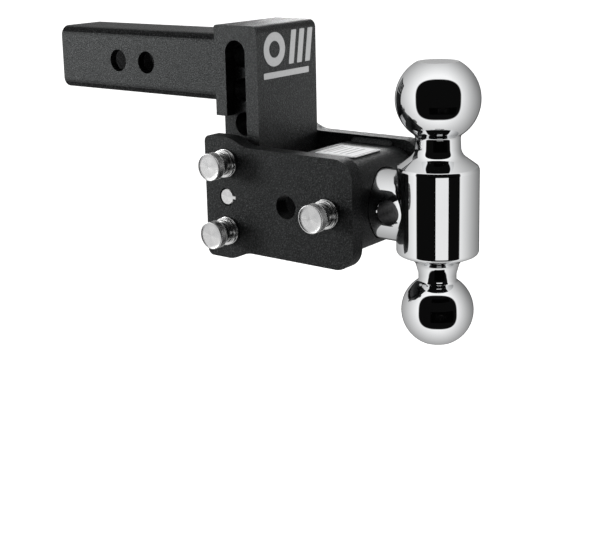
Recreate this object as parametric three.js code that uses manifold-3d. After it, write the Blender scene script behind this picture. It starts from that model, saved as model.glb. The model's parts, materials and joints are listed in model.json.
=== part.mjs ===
// Height-adjustable trailer hitch with a dual tow ball.
//
// Millimetres. X runs from the tow vehicle to the trailer, Y to the vehicle's
// right, Z up. The origin lies on the shank's lower face, under the hole that
// takes the receiver's hitch pin.
import * as THREE from 'three';
import { mergeVertices } from 'three/addons/utils/BufferGeometryUtils.js';
import Module from 'manifold-3d';

const wasm = await Module();
wasm.setup();

// ---- driving dimensions -------------------------------------------------
const GAP = 0.3;                    // between pieces that touch

const SHANK_SIZE = 50.8;            // 2 in receiver shank
const SHANK_WALL = 6.35;
const SHANK_CORNER = 8;
const SHANK_FRONT_X = -65;
const HITCH_HOLE_X = [0, 31];       // hitch-pin hole and the spare one behind it
const PIN_HOLE_D = 17.5;            // clearance hole for a 5/8 in pin

const POST_X0 = 111.6;
const POST_X1 = 151.9;
const POST_WIDTH = 70.8;
const POST_TOP_Z = 33.2;            // heights are from the shank's axis
const POST_BOTTOM_Z = -132;
const POST_WALL = 11.3;             // rear web
const POST_ROOF = 10.7;
const CHEEK = 8.8;                  // side walls
const FRONT_LEG = 10.3;             // the short leg in front of each side slot
const FRONT_LEG_BOTTOM_Z = -33.8;
const HOLE_PITCH = 25.4;
const HOLE_COUNT = 6;

const PLATE_X0 = 111;
const PLATE_X1 = 243.3;
const PLATE_INNER_Y = 37.6;
const PLATE_THICK = 11.6;
const PLATE_HALF_HEIGHT = 39.2;
const LUG_HALF_HEIGHT = 45.6;       // the taller front end that holds the two pins
const MOUNT_Z = -92.1;              // centre line of the ball mount
const COLUMN_MID_Z = -91.1;         // the post hole between the two post pins
const COLUMN_PIN_X = 131.1;
const BALL_PIN_X = 221.7;
const SPARE_PIN_X = 185.8;

const HOUSING_X0 = 180;
const HOUSING_X1 = 240;
const HOUSING_HALF_HEIGHT = 33.6;
const HOUSING_WALL = 6.1;
const HOUSING_BEND = 20;

const SHAFT_D = 50.8;
const SHAFT_X0 = 204;
const SHAFT_HOLE_X = 256;           // second cross hole, outside the housing
const BALL_X = 281;
const BODY_R = 28.7;
const UPPER_BALL_R = 29.35;         // 2-5/16 in
const LOWER_BALL_R = 25.4;          // 2 in
const UPPER_BALL_Z = -14.1;
const LOWER_BALL_Z = -163.6;
const UPPER_NECK_R = 15.7;
const LOWER_NECK_R = 13.3;

const PIN_D = 15.9;
const PIN_TIP = 58.4;               // tip's distance from the centre plane
const COLLAR_R = 10.6;
const KNOB_R = 10.1;
const KNOB_REACH = 19.4;            // knob's face, out from the side plate
const KNOB_LONG = 7.2;
const ROD_REACH = 16.8;             // rod's outer end, inside the knob
const DETENT_Y = 52.7;

const PLATE_OUTER_Y = PLATE_INNER_Y + PLATE_THICK;
const UPPER_PIN_Z = COLUMN_MID_Z + HOLE_PITCH;
const LOWER_PIN_Z = COLUMN_MID_Z - HOLE_PITCH;

// ---- finishes -----------------------------------------------------------
const FINISH = {
  black: { color: 0x1b1c1d, roughness: 0.55, metalness: 0.1 },
  chrome: { color: 0xe6e7e8, roughness: 0.06, metalness: 1 },
  zinc: { color: 0xc9cbcc, roughness: 0.28, metalness: 1 },
  steel: { color: 0x8f9295, roughness: 0.4, metalness: 1 },
  bronze: { color: 0x9a7c4d, roughness: 0.45, metalness: 0.9 },
  label: { color: 0xc7c8c9, roughness: 0.35, metalness: 0.4 },
};

// ---- solids -------------------------------------------------------------
function toManifold(geometry) {
  const bare = geometry.index ? geometry.toNonIndexed() : geometry.clone();
  bare.deleteAttribute('normal');
  bare.deleteAttribute('uv');
  const merged = mergeVertices(bare, 1e-4);
  return new wasm.Manifold(new wasm.Mesh({
    numProp: 3,
    vertProperties: new Float32Array(merged.attributes.position.array),
    triVerts: new Uint32Array(merged.index.array),
  }));
}

function toGeometry(solid) {
  const mesh = solid.getMesh();
  const geometry = new THREE.BufferGeometry();
  geometry.setAttribute('position', new THREE.BufferAttribute(mesh.vertProperties, 3));
  geometry.setIndex(new THREE.BufferAttribute(mesh.triVerts, 1));
  geometry.computeVertexNormals();
  return geometry;
}

// An outline drawn in X (across) and Z (up), from y0 to y1.
function alongY(shape, y0, y1, curveSegments = 8) {
  const geometry = new THREE.ExtrudeGeometry(shape, {
    depth: y1 - y0, bevelEnabled: false, curveSegments,
  });
  geometry.rotateX(Math.PI / 2);
  geometry.translate(0, y1, 0);
  return toManifold(geometry);
}

// An outline drawn in Y (across) and Z (up), from x0 to x1.
function alongX(shape, x0, x1, curveSegments = 8) {
  const geometry = new THREE.ExtrudeGeometry(shape, {
    depth: x1 - x0, bevelEnabled: false, curveSegments,
  });
  geometry.rotateX(Math.PI / 2);
  geometry.rotateZ(Math.PI / 2);
  geometry.translate(x0, 0, 0);
  return toManifold(geometry);
}

function block(x0, x1, y0, y1, z0, z1) {
  const geometry = new THREE.BoxGeometry(x1 - x0, y1 - y0, z1 - z0);
  geometry.translate((x0 + x1) / 2, (y0 + y1) / 2, (z0 + z1) / 2);
  return toManifold(geometry);
}

// A round bar along Y through (x, z).
function barY(radius, x, z, y0, y1, segments = 24) {
  const geometry = new THREE.CylinderGeometry(radius, radius, y1 - y0, segments);
  geometry.translate(x, (y0 + y1) / 2, z);
  return toManifold(geometry);
}

// A round bar along X through (0, z).
function barX(radius, z, x0, x1, segments = 36) {
  const geometry = new THREE.CylinderGeometry(radius, radius, x1 - x0, segments);
  geometry.rotateZ(Math.PI / 2);
  geometry.translate((x0 + x1) / 2, 0, z);
  return toManifold(geometry);
}

// A turned solid on the Y axis line through (x, z); profile is [radius, y].
function turnedY(profile, x, z, segments = 32) {
  const points = profile.map(([r, y]) => new THREE.Vector2(r, y));
  const geometry = new THREE.LatheGeometry(points, segments);
  geometry.translate(x, 0, z);
  return geometry;
}

// LatheGeometry faces out when its profile climbs; this puts it that way up.
function closedLathe(profile, x, z, segments) {
  const solid = toManifold(turnedY(profile, x, z, segments));
  return solid.volume() > 0 ? solid : toManifold(turnedY([...profile].reverse(), x, z, segments));
}

function roundedRect(halfWidth, halfHeight, radius) {
  const shape = new THREE.Shape();
  shape.moveTo(halfWidth, -halfHeight + radius);
  shape.lineTo(halfWidth, halfHeight - radius);
  shape.absarc(halfWidth - radius, halfHeight - radius, radius, 0, Math.PI / 2);
  shape.lineTo(-halfWidth + radius, halfHeight);
  shape.absarc(-halfWidth + radius, halfHeight - radius, radius, Math.PI / 2, Math.PI);
  shape.lineTo(-halfWidth, -halfHeight + radius);
  shape.absarc(-halfWidth + radius, -halfHeight + radius, radius, Math.PI, 1.5 * Math.PI);
  shape.lineTo(halfWidth - radius, -halfHeight);
  shape.absarc(halfWidth - radius, -halfHeight + radius, radius, 1.5 * Math.PI, 2 * Math.PI);
  return shape;
}

function helix(radius, length, turns, center) {
  const curve = new THREE.Curve();
  curve.getPoint = (t, target = new THREE.Vector3()) => {
    const angle = 2 * Math.PI * turns * t;
    const along = length * t;
    return target.set(radius * Math.cos(angle), radius * Math.sin(angle), along).add(center);
  };
  return curve;
}

function wireAlong(curve, wireRadius, steps) {
  const section = new THREE.Shape();
  section.absarc(0, 0, wireRadius, 0, 2 * Math.PI);
  return new THREE.ExtrudeGeometry(section, { extrudePath: curve, steps, curveSegments: 3 });
}

// ---- the assembly -------------------------------------------------------
const hitch = new THREE.Group();
const model = new THREE.Group();
model.position.z = SHANK_SIZE / 2;  // the pieces are drawn from the shank's axis
hitch.add(model);

function add(name, solid, finish, parent = model) {
  const geometry = solid.isBufferGeometry ? solid : toGeometry(solid);
  const mesh = new THREE.Mesh(geometry, new THREE.MeshStandardMaterial(FINISH[finish]));
  mesh.name = name;
  parent.add(mesh);
  return mesh;
}

// ---- shank: a square tube that slides into the vehicle's receiver --------
const WELD_LEG = 5;
const WELD_PREP = 0.6;              // the tube's end is relieved this deep under the weld

function shankTube() {
  const half = SHANK_SIZE / 2;
  const inner = half - SHANK_WALL;
  const x1 = POST_X0 - GAP;
  const prepX = x1 - WELD_LEG - 0.4;
  const relieved = roundedRect(half - WELD_PREP, half - WELD_PREP, SHANK_CORNER - WELD_PREP);
  let tube = alongX(roundedRect(half, half, SHANK_CORNER), SHANK_FRONT_X, prepX, 6);
  tube = tube.add(alongX(relieved, prepX - 1, x1, 6));
  const bore = roundedRect(inner, inner, SHANK_CORNER - SHANK_WALL);
  tube = tube.subtract(alongX(bore, SHANK_FRONT_X - 1, x1 + 1, 3));
  for (const x of HITCH_HOLE_X) {
    tube = tube.subtract(barY(PIN_HOLE_D / 2, x, 0, -half - 1, half + 1));
  }
  return tube;
}

// A fillet weld all round the shank, where it meets the post's front face.
function shankWeld() {
  const leg = WELD_LEG;
  const half = SHANK_SIZE / 2 - WELD_PREP + GAP;
  const x1 = POST_X0 - GAP;
  const wide = alongX(roundedRect(half + leg, half + leg, SHANK_CORNER + leg), x1 - 2.4, x1, 4);
  const thin = alongX(roundedRect(half + 2.4, half + 2.4, SHANK_CORNER + 2), x1 - leg, x1, 4);
  const hole = alongX(roundedRect(half, half, SHANK_CORNER - 0.3), x1 - leg - 1, x1 + 1, 6);
  return wide.add(thin).subtract(hole);
}

// ---- post: outer channel and the drilled column inside it ----------------
function columnHoleHeights() {
  const lowest = LOWER_PIN_Z;
  return Array.from({ length: HOLE_COUNT }, (_, i) => lowest + i * HOLE_PITCH);
}

function postChannel() {
  const round = 6;
  const shape = new THREE.Shape();
  shape.moveTo(POST_X0, POST_BOTTOM_Z);
  shape.lineTo(POST_X1, POST_BOTTOM_Z);
  shape.lineTo(POST_X1, POST_TOP_Z - round);
  shape.absarc(POST_X1 - round, POST_TOP_Z - round, round, 0, Math.PI / 2);
  shape.lineTo(POST_X0 + 2, POST_TOP_Z);
  shape.absarc(POST_X0 + 2, POST_TOP_Z - 2, 2, Math.PI / 2, Math.PI);
  const halfWidth = POST_WIDTH / 2;
  const webX = POST_X1 - POST_WALL;
  const roofZ = POST_TOP_Z - POST_ROOF;
  const low = POST_BOTTOM_Z - 1;
  const front = POST_X0 - 1;
  const inside = halfWidth - CHEEK;
  let channel = alongY(shape, -halfWidth, halfWidth, 5);
  channel = channel.subtract(block(front, webX, -inside, inside, low, roofZ));
  const slotX0 = POST_X0 + FRONT_LEG;
  const slotR = (webX - slotX0) / 2;
  const slot = new THREE.Shape();
  slot.moveTo(slotX0, low);
  slot.lineTo(webX, low);
  slot.lineTo(webX, roofZ - slotR);
  slot.absarc(webX - slotR, roofZ - slotR, slotR, 0, Math.PI);
  channel = channel.subtract(alongY(slot, -halfWidth - 1, halfWidth + 1, 10));
  const legEnd = FRONT_LEG_BOTTOM_Z;
  return channel.subtract(block(front, webX, -halfWidth - 1, halfWidth + 1, low, legEnd));
}

function postColumn() {
  const half = POST_WIDTH / 2 - CHEEK - GAP;
  const x1 = POST_X1 - POST_WALL - GAP;
  const z1 = POST_TOP_Z - POST_ROOF - GAP;
  let column = block(POST_X0, x1, -half, half, POST_BOTTOM_Z, z1);
  for (const z of columnHoleHeights()) {
    column = column.subtract(barY(PIN_HOLE_D / 2, COLUMN_PIN_X, z, -half - 1, half + 1));
  }
  return column;
}

// ---- ball mount: two side plates that straddle the post -------------------
function plateOutline() {
  const shape = new THREE.Shape();
  const corner = 5;
  const end = 15;
  const top = MOUNT_Z + PLATE_HALF_HEIGHT;
  const bottom = MOUNT_Z - PLATE_HALF_HEIGHT;
  const lugTop = MOUNT_Z + LUG_HALF_HEIGHT;
  const lugBottom = MOUNT_Z - LUG_HALF_HEIGHT;
  const curveX0 = PLATE_X0 + 20;
  const curveX1 = PLATE_X0 + 43;
  const reach = 9;
  shape.moveTo(PLATE_X0, lugBottom + corner);
  shape.absarc(PLATE_X0 + corner, lugBottom + corner, corner, Math.PI, 1.5 * Math.PI);
  shape.lineTo(curveX0, lugBottom);
  shape.bezierCurveTo(curveX0 + reach, lugBottom, curveX1 - reach, bottom, curveX1, bottom);
  shape.lineTo(PLATE_X1 - end, bottom);
  shape.absarc(PLATE_X1 - end, bottom + end, end, 1.5 * Math.PI, 2 * Math.PI);
  shape.lineTo(PLATE_X1, top - end);
  shape.absarc(PLATE_X1 - end, top - end, end, 0, Math.PI / 2);
  shape.lineTo(curveX1, top);
  shape.bezierCurveTo(curveX1 - reach, top, curveX0 + reach, lugTop, curveX0, lugTop);
  shape.lineTo(PLATE_X0 + corner, lugTop);
  shape.absarc(PLATE_X0 + corner, lugTop - corner, corner, Math.PI / 2, Math.PI);
  return shape;
}

function sidePlate(y0, y1) {
  let plate = alongY(plateOutline(), y0, y1, 6);
  const holes = [
    [COLUMN_PIN_X, UPPER_PIN_Z],
    [COLUMN_PIN_X, LOWER_PIN_Z],
    [SPARE_PIN_X, MOUNT_Z],
    [BALL_PIN_X, MOUNT_Z],
  ];
  for (const [x, z] of holes) {
    plate = plate.subtract(barY(PIN_HOLE_D / 2, x, z, y0 - 1, y1 + 1));
  }
  return plate;
}

// The stepped, keyed hole in the left plate for the sprung catch.
const CATCH = { hole: 6.75, pocket: 9.6, shoulder: 3.2, keyHalf: 1.1, keyReach: 8.1 };

function catchPocket() {
  const outer = -PLATE_OUTER_Y;
  const step = outer + CATCH.shoulder;
  const through = barY(CATCH.hole, COLUMN_PIN_X, COLUMN_MID_Z, outer - 1, step + 1);
  const pocket = barY(CATCH.pocket, COLUMN_PIN_X, COLUMN_MID_Z, step, -PLATE_INNER_Y + 1);
  const x1 = COLUMN_PIN_X + CATCH.keyReach + 0.3;
  const z0 = COLUMN_MID_Z - CATCH.keyHalf - 0.3;
  const z1 = COLUMN_MID_Z + CATCH.keyHalf + 0.3;
  const keyway = block(COLUMN_PIN_X, x1, outer - 1, step + 1, z0, z1);
  return through.add(pocket).add(keyway);
}

// A plate wrapped over, behind and under the ball shaft.
function housingOutline(inset, openFront) {
  const half = HOUSING_HALF_HEIGHT - inset;
  const x1 = HOUSING_X1 - inset;
  const bend = HOUSING_BEND - inset;
  const x0 = HOUSING_X0 - openFront;
  const shape = new THREE.Shape();
  shape.moveTo(x0, MOUNT_Z - half);
  shape.lineTo(x1 - bend, MOUNT_Z - half);
  shape.absarc(x1 - bend, MOUNT_Z - half + bend, bend, 1.5 * Math.PI, 2 * Math.PI);
  shape.lineTo(x1, MOUNT_Z + half - bend);
  shape.absarc(x1 - bend, MOUNT_Z + half - bend, bend, 0, Math.PI / 2);
  shape.lineTo(x0, MOUNT_Z + half);
  return shape;
}

function ballHousing() {
  const half = PLATE_INNER_Y - GAP;
  let wrap = alongY(housingOutline(0, 0), -half, half, 9);
  wrap = wrap.subtract(alongY(housingOutline(HOUSING_WALL, 5), -half - 1, half + 1, 7));
  return wrap.subtract(barX(SHAFT_D / 2 + 0.5, MOUNT_Z, HOUSING_X1 - 20, HOUSING_X1 + 1));
}

function shaftSleeve() {
  const x0 = SHAFT_X0 - 3;
  const x1 = HOUSING_X1 - HOUSING_WALL - GAP;
  const outer = HOUSING_HALF_HEIGHT - HOUSING_WALL - GAP;
  let sleeve = barX(outer, MOUNT_Z, x0, x1);
  sleeve = sleeve.intersect(alongY(housingOutline(HOUSING_WALL + GAP, 0), -outer, outer, 7));
  sleeve = sleeve.subtract(barX(SHAFT_D / 2 + 0.35, MOUNT_Z, x0 - 1, x1 + 1));
  return sleeve.subtract(barY(PIN_HOLE_D / 2, BALL_PIN_X, MOUNT_Z, -outer - 1, outer + 1));
}

// A fillet weld between a side plate and the housing's top or bottom.
function housingWeld(side, level) {
  const leg = 3.6;
  const y = side * (PLATE_INNER_Y - GAP);
  const z = MOUNT_Z + level * (HOUSING_HALF_HEIGHT + GAP);
  const shape = new THREE.Shape();
  const corners = [[y, z], [y - side * leg, z], [y - side * leg * 0.42, z + level * leg * 0.42],
    [y, z + level * leg]];
  shape.setFromPoints(corners.map(([a, b]) => new THREE.Vector2(a, b)));
  return alongX(shape, HOUSING_X0 + 3, HOUSING_X1 - HOUSING_BEND, 1);
}

function labelPlate() {
  const thick = 0.8;
  const half = 17.4;
  const x = (HOUSING_X0 + HOUSING_X1 - HOUSING_BEND) / 2 + 5.7;
  const z = MOUNT_Z + HOUSING_HALF_HEIGHT + GAP;
  return block(x - half, x + half, -half, half, z, z + thick);
}

// ---- dual ball: one chromed forging --------------------------------------
function sphereArc(radius, centre, ringStart, ringEnd, steps) {
  const a0 = Math.asin(ringStart.r / radius) * 1;
  const a1 = Math.asin(ringEnd.r / radius) * 1;
  const from = ringStart.below ? Math.PI - a0 : a0;
  const to = ringEnd.below ? Math.PI - a1 : a1;
  return Array.from({ length: steps + 1 }, (_, i) => {
    const a = from + (to - from) * (i / steps);
    return [radius * Math.sin(a), centre + radius * Math.cos(a)];
  });
}

function ballProfile() {
  const upperFlat = 14.2;
  const lowerFlat = 11.5;
  const top = sphereArc(UPPER_BALL_R, UPPER_BALL_Z, { r: upperFlat }, { r: UPPER_NECK_R, below: true }, 10);
  const low = sphereArc(LOWER_BALL_R, LOWER_BALL_Z, { r: LOWER_NECK_R }, { r: lowerFlat, below: true }, 9);
  const shoulder = [
    [15.9, -47], [17.2, -50.8], [19.8, -54.6], [27.4, -60.2], [BODY_R, -61.8],
  ];
  const foot = [
    [BODY_R, -120.4], [26.8, -122.6], [20, -125.4], [15.6, -129], [13.7, -132.6],
  ];
  return [[0, top[0][1]], ...top, ...shoulder, ...foot, ...low, [0, low[low.length - 1][1]]];
}

function dualBall() {
  const points = ballProfile().map(([r, z]) => new THREE.Vector2(r, z));
  const turned = new THREE.LatheGeometry(points.reverse(), 36);
  turned.rotateX(Math.PI / 2);
  turned.translate(BALL_X, 0, 0);
  const body = toManifold(turned);
  const z = MOUNT_Z;
  let unit = body.add(barX(SHAFT_D / 2, z, SHAFT_X0, BALL_X));
  for (const x of [BALL_PIN_X, SHAFT_HOLE_X]) {
    unit = unit.subtract(barY(PIN_HOLE_D / 2, x, z, -SHAFT_D / 2 - 1, SHAFT_D / 2 + 1));
  }
  return unit;
}

// ---- pins ----------------------------------------------------------------
const BORE = { r: 2.8, floor: 0.8, ballR: 2.5, ballCentre: 6.0 };

function pinRod(x, z) {
  const r = PIN_D / 2;
  const y0 = -PLATE_OUTER_Y - ROD_REACH;
  const profile = [[0, y0], [r, y0], [r, PIN_TIP - 2.5], [r - 2, PIN_TIP], [0, PIN_TIP]];
  const rod = closedLathe(profile, x, z, 24);
  const bore = new THREE.CylinderGeometry(BORE.r, BORE.r, 12, 16);
  bore.rotateX(Math.PI / 2);
  bore.translate(x, DETENT_Y, z + BORE.floor + 6);
  return rod.subtract(toManifold(bore));
}

// A flanged collar with two rims, resting on the side plate.
function pinCollar(x, z) {
  const y = -PLATE_OUTER_Y - GAP;
  const bore = PIN_D / 2 + GAP;
  const profile = [
    [bore, y], [COLLAR_R, y], [COLLAR_R, y - 1.6], [COLLAR_R - 1, y - 2.2],
    [COLLAR_R - 0.3, y - 2.8], [COLLAR_R - 0.3, y - 4.3], [bore, y - 4.3], [bore, y],
  ];
  return closedLathe(profile, x, z, 24);
}

// A cap with a knurled rim, pressed on the rod's end.
function pinKnob(x, z) {
  const y1 = -PLATE_OUTER_Y - KNOB_REACH;
  const y0 = y1 + KNOB_LONG;
  const socket = PIN_D / 2 + GAP;
  const floor = -PLATE_OUTER_Y - ROD_REACH - GAP;
  const profile = [
    [0, floor], [socket, floor], [socket, y0], [KNOB_R - 0.8, y0], [KNOB_R, y0 - 0.8],
    [KNOB_R, y1 + 0.8], [KNOB_R - 0.8, y1], [1.2, y1], [0, y1 + 0.3],
  ];
  return closedLathe(profile, x, z, 24);
}

function detentBall(x, z) {
  const ball = new THREE.SphereGeometry(BORE.ballR, 12, 7);
  ball.translate(x, DETENT_Y, z + BORE.ballCentre);
  return toManifold(ball);
}

function detentSpring(x, z) {
  const wire = 0.32;
  const bottom = BORE.floor + wire + 0.1;
  const top = BORE.ballCentre - BORE.ballR - wire - 0.15;
  const centre = new THREE.Vector3(x, DETENT_Y, z + bottom);
  return toManifold(wireAlong(helix(1.9, top - bottom, 2, centre), wire, 20));
}

function addPin(prefix, x, z) {
  add(`${prefix}_rod`, pinRod(x, z), 'steel');
  add(`${prefix}_collar`, pinCollar(x, z), 'zinc');
  add(`${prefix}_knob`, pinKnob(x, z), 'zinc');
  add(`${prefix}_detent_ball`, detentBall(x, z), 'steel');
  add(`${prefix}_detent_spring`, detentSpring(x, z), 'steel');
}

// ---- sprung catch between the two column pins ------------------------------
function catchPlunger() {
  const outer = -PLATE_OUTER_Y;
  const inner = -PLATE_INNER_Y;
  const nose = -(POST_WIDTH / 2 - CHEEK) + 2.4;
  const profile = [
    [0, outer], [5.6, outer], [6, outer + 0.4], [6, inner - 3], [9, inner - 3], [9, inner - 1.2],
    [7.4, inner - 1.2], [7.4, nose - 1.6], [6, nose], [0, nose],
  ];
  const body = closedLathe(profile, COLUMN_PIN_X, COLUMN_MID_Z, 24);
  const x1 = COLUMN_PIN_X + CATCH.keyReach;
  const key = block(COLUMN_PIN_X, x1, outer, outer + 2.4, COLUMN_MID_Z - CATCH.keyHalf, COLUMN_MID_Z + CATCH.keyHalf);
  return body.add(key);
}

function catchSpring() {
  const wire = 0.45;
  const start = -PLATE_OUTER_Y + CATCH.shoulder + wire + 0.1;
  const end = -PLATE_INNER_Y - 3 - wire - 0.1;
  const curve = helix(7.8, end - start, 2, new THREE.Vector3(0, 0, 0));
  const wound = wireAlong(curve, wire, 24);
  wound.rotateX(-Math.PI / 2);
  wound.translate(COLUMN_PIN_X, start, COLUMN_MID_Z);
  return toManifold(wound);
}

function catchCirclip() {
  const y0 = -PLATE_INNER_Y - 0.9;
  const ring = barY(9.3, COLUMN_PIN_X, COLUMN_MID_Z, y0, y0 + 0.8);
  const hole = barY(7.8, COLUMN_PIN_X, COLUMN_MID_Z, y0 - 1, y0 + 2);
  const split = block(COLUMN_PIN_X - 1.2, COLUMN_PIN_X + 1.2, y0 - 1, y0 + 2, COLUMN_MID_Z - 12, COLUMN_MID_Z);
  return ring.subtract(hole).subtract(split);
}

// ---- put it together -------------------------------------------------------
add('shank_tube', shankTube(), 'black');
add('shank_weld', shankWeld(), 'black');
add('post_channel', postChannel(), 'black');
add('post_column', postColumn(), 'black');
add('left_side_plate', sidePlate(-PLATE_OUTER_Y, -PLATE_INNER_Y).subtract(catchPocket()), 'black');
add('right_side_plate', sidePlate(PLATE_INNER_Y, PLATE_OUTER_Y), 'black');
add('ball_housing', ballHousing(), 'black');
add('shaft_sleeve', shaftSleeve(), 'bronze');
for (const [sideName, side] of [['left', -1], ['right', 1]]) {
  for (const [levelName, level] of [['top', 1], ['bottom', -1]]) {
    add(`housing_weld_${sideName}_${levelName}`, housingWeld(side, level), 'black');
  }
}
add('label_plate', labelPlate(), 'label');
add('dual_ball', dualBall(), 'chrome');
addPin('upper_pin', COLUMN_PIN_X, UPPER_PIN_Z);
addPin('lower_pin', COLUMN_PIN_X, LOWER_PIN_Z);
addPin('ball_pin', BALL_PIN_X, MOUNT_Z);
add('catch_plunger', catchPlunger(), 'zinc');
add('catch_spring', catchSpring(), 'steel');
add('catch_circlip', catchCirclip(), 'steel');

export default hitch;
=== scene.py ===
# %% [markdown]
# # A trailer hitch with a dual tow ball
#
# The hitch is a welded steel ball mount on a square shank, with one chromed
# forging that carries a big ball on top and a small one below. The packed
# frame gives every piece's place. This lesson makes the surfaces: powder coat
# with rounded edges, mirror chrome, knurled and turned knobs, and weld beads.

# %% Load the frame
import json
import math

import bmesh
import bpy
from mathutils import Matrix, Vector, noise

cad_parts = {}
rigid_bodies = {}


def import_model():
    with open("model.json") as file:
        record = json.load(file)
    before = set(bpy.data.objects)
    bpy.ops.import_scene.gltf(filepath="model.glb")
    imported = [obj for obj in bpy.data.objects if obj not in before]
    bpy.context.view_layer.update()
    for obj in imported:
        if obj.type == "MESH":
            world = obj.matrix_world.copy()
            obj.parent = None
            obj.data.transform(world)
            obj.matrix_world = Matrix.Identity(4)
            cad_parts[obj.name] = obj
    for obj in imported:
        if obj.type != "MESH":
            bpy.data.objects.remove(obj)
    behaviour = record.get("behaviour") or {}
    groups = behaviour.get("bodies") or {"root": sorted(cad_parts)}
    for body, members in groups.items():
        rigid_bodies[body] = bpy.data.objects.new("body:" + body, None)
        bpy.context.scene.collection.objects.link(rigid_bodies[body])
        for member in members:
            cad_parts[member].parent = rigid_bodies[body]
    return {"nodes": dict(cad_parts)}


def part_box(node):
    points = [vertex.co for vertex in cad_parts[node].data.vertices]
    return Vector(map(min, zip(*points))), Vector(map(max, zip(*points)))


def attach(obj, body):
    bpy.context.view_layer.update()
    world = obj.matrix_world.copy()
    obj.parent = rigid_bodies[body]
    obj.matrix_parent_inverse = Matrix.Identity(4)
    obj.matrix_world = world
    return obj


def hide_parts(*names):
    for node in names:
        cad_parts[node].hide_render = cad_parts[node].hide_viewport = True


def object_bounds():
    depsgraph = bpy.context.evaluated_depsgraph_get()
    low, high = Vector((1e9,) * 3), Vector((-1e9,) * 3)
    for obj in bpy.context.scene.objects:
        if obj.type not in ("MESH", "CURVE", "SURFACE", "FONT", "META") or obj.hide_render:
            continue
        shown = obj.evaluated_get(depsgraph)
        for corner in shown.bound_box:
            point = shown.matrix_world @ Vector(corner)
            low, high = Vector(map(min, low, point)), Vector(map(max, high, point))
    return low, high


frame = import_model()
cad_low, cad_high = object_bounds()

# %% [markdown]
# ## Measures
#
# Everything is in metres here. The frame's boxes give the places, so a piece
# that is moved in the design moves here too. Only sizes that a box can't tell,
# such as an edge radius, are written down.

# %% Places taken from the frame
MM = 0.001


def middle_of(node):
    low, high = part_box(node)
    return (low + high) / 2


shank_low, shank_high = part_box("shank_tube")
SHANK_Z = (shank_low.z + shank_high.z) / 2
SHANK_HALF = (shank_high.z - shank_low.z) / 2
post_low, post_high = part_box("post_channel")
column_low, column_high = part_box("post_column")
plate_low, plate_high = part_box("left_side_plate")
housing_low, housing_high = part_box("ball_housing")
MOUNT_Z = (housing_low.z + housing_high.z) / 2
UPPER_PIN = middle_of("upper_pin_collar")
LOWER_PIN = middle_of("lower_pin_collar")
BALL_PIN = middle_of("ball_pin_collar")
CATCH = middle_of("catch_plunger")
PIN_HOLE_R = 8.75 * MM
HOLE_PITCH = 25.4 * MM
ball_low, ball_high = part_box("dual_ball")
print(f"shank {SHANK_HALF * 2000:.1f} mm square, mount centre at z {MOUNT_Z * 1000:.1f} mm")

# %% [markdown]
# ## Camera and studio
#
# A product like this is shot in a white tent: soft light all round, and one
# black opening where the camera stands. Chrome shows that opening as a dark
# patch with crisp edges, and that patch is what makes it read as chrome. So
# the studio is a pale floor, a painted tent, and one bright card and two dark
# flags that only reflections see.

# %% The camera
camera_data = bpy.data.cameras.new("camera")
camera = bpy.data.objects.new("camera", camera_data)
bpy.context.scene.collection.objects.link(camera)
bpy.context.scene.camera = camera
CAMERA_AT = Vector((0.69903, -0.69892, 0.13227))
YAW, PITCH, ROLL = (math.radians(a) for a in (37.577, 12.223, -1.257))
camera_data.sensor_width = 36.0
camera_data.lens = 36.0 * 1201.5 / 600
camera_data.shift_y = -0.15
look = Vector((-math.sin(YAW) * math.cos(PITCH), math.cos(YAW) * math.cos(PITCH), -math.sin(PITCH)))
level_right = Vector((math.cos(YAW), math.sin(YAW), 0.0))
level_up = level_right.cross(look)
right = math.cos(ROLL) * level_right + math.sin(ROLL) * level_up
up = -math.sin(ROLL) * level_right + math.cos(ROLL) * level_up
camera.matrix_world = Matrix((
    (right.x, up.x, -look.x, CAMERA_AT.x),
    (right.y, up.y, -look.y, CAMERA_AT.y),
    (right.z, up.z, -look.z, CAMERA_AT.z),
    (0, 0, 0, 1),
))
camera_data.clip_start = 0.01
camera_data.clip_end = 100
print(f"camera {CAMERA_AT.length:.2f} m away, lens {camera_data.lens:.0f} mm")

# %% [markdown]
# ## Shader arithmetic
#
# A finish is a small network of nodes. Building one link by link hides the
# idea, so `Wire` wraps a socket and lets Python's operators add Math nodes,
# and `Finish.node` adds any other node from its type, settings and inputs.

# %% Wire and Finish
class Wire:
    """A socket's value, as something that can be added, scaled and compared."""

    def __init__(self, finish, socket):
        self.finish = finish
        self.socket = socket

    def __add__(self, other):
        return self.finish.maths("ADD", self, other)

    __radd__ = __add__

    def __sub__(self, other):
        return self.finish.maths("SUBTRACT", self, other)

    def __rsub__(self, other):
        return self.finish.maths("SUBTRACT", other, self)

    def __mul__(self, other):
        return self.finish.maths("MULTIPLY", self, other)

    __rmul__ = __mul__

    def __gt__(self, other):
        return self.finish.maths("GREATER_THAN", self, other)

    def __lt__(self, other):
        return self.finish.maths("LESS_THAN", self, other)

    def __truediv__(self, other):
        return self.finish.maths("DIVIDE", self, other)

    def __pow__(self, other):
        return self.finish.maths("POWER", self, other)

    def __abs__(self):
        return self.finish.maths("ABSOLUTE", self)

    def sine(self):
        return self.finish.maths("SINE", self)

    def root(self):
        return self.finish.maths("SQRT", self)

    def ramp(self, low, high, to_low=0.0, to_high=1.0):
        """The value carried from one range to another, and held at its ends."""
        inputs = {"Value": self, "From Min": low, "From Max": high, "To Min": to_low, "To Max": to_high}
        return self.finish.node("MapRange", {"clamp": True}, inputs)


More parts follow.
